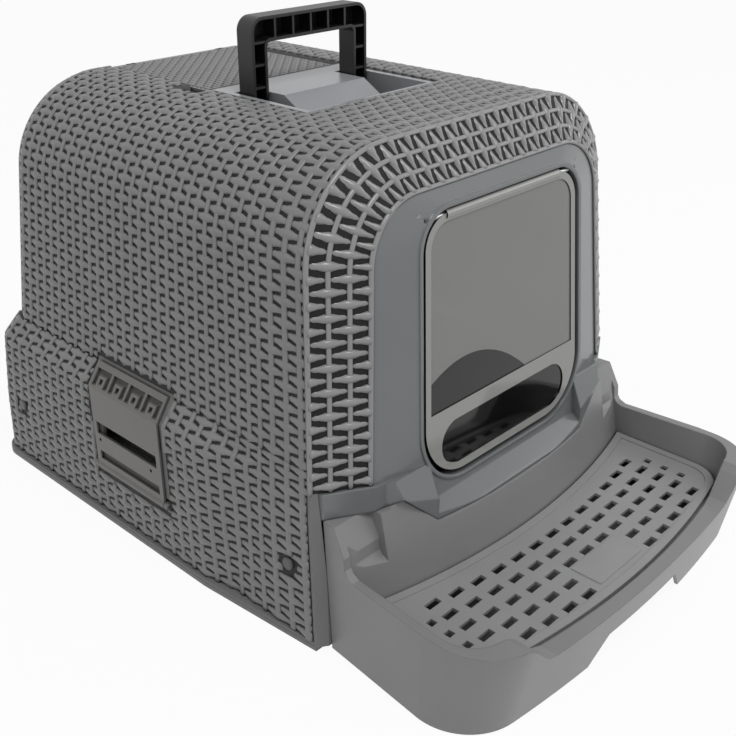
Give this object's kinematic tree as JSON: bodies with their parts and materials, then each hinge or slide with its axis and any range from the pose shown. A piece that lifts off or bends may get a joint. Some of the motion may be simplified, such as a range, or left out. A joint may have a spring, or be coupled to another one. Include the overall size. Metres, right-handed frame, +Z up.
{
  "type": "drawer litter box",
  "caption": "Hooded litter box with woven-look cover, smoked swing flap, pull-out drawer with perforated step tray, fold-down handle, top hatch and side clips.",
  "frame": {"origin": "centre of the footprint's bounding box, on the floor", "axes": "+Z up, -Y towards the doorway and the drawer, X across; symmetric about X = 0 but for the lid's finger notch"},
  "size_m": [0.4156, 0.632, 0.4387],
  "materials": {
    "housing_plastic": "moulded",
    "wicker_plastic": "moulded basket weave relief",
    "panel_plastic": "glossy",
    "guide_plastic": "moulded",
    "dark_steel": "blackened",
    "seat_plastic": "satin",
    "pin_steel": "bright",
    "filter_foam": "charcoal foam",
    "drawer_plastic": "satin",
    "plate_plastic": "satin",
    "smoked_clear": "clear smoked",
    "black_plastic": "moulded",
    "clip_plastic": "satin"
  },
  "bodies": {
    "housing": {"base_tray": "housing_plastic", "hood_shell": "wicker_plastic", "front_panel": "panel_plastic", "drawer_guide_left": "guide_plastic", "drawer_guide_right": "guide_plastic", "guide_screws": "dark_steel", "handle_seat": "seat_plastic", "handle_pin_left": "pin_steel", "handle_pin_right": "pin_steel", "clip_pin_left": "pin_steel", "clip_pin_right": "pin_steel", "lid_hinge_pin": "pin_steel", "filter_basket": "guide_plastic", "charcoal_filter": "filter_foam"},
    "drawer": {"step_tray": "drawer_plastic", "litter_pan": "drawer_plastic", "pan_screws": "dark_steel"},
    "step_plate": {"grid_plate": "plate_plastic"},
    "flap": {"entry_flap": "smoked_clear", "flap_hinge_rod": "pin_steel"},
    "lid": {"top_lid": "wicker_plastic"},
    "handle": {"carry_handle": "black_plastic"},
    "left_clip": {"side_clip_left": "clip_plastic"},
    "right_clip": {"side_clip_right": "clip_plastic"}
  },
  "joints": [
    {"name": "drawer_slide", "type": "slide", "parent": "housing", "child": "drawer", "axis": [0, -1, 0], "range_m": [0, 0.36]},
    {"name": "step_plate_lift", "type": "slide", "parent": "drawer", "child": "step_plate", "axis": [0, 0, 1], "range_m": [0, 0.1]},
    {"name": "flap_swing", "type": "hinge", "parent": "housing", "child": "flap", "pos_m": [0, -0.1495, 0.327], "axis": [1, 0, 0], "range_deg": [-65, 65]},
    {"name": "lid_hinge", "type": "hinge", "parent": "housing", "child": "lid", "pos_m": [0, 0.2463, 0.3738], "axis": [-1, 0, 0], "range_deg": [0, 100]},
    {"name": "handle_fold", "type": "hinge", "parent": "housing", "child": "handle", "pos_m": [0, 0.065, 0.363], "axis": [1, 0, 0], "range_deg": [0, 90]},
    {"name": "right_clip_swing", "type": "hinge", "parent": "housing", "child": "right_clip", "pos_m": [0.2046, 0.084, 0.0575], "axis": [0, 1, 0], "range_deg": [0, 90]},
    {"name": "left_clip_swing", "type": "hinge", "parent": "housing", "child": "left_clip", "pos_m": [-0.2046, 0.084, 0.0575], "axis": [0, -1, 0], "range_deg": [0, 90]}
  ]
}
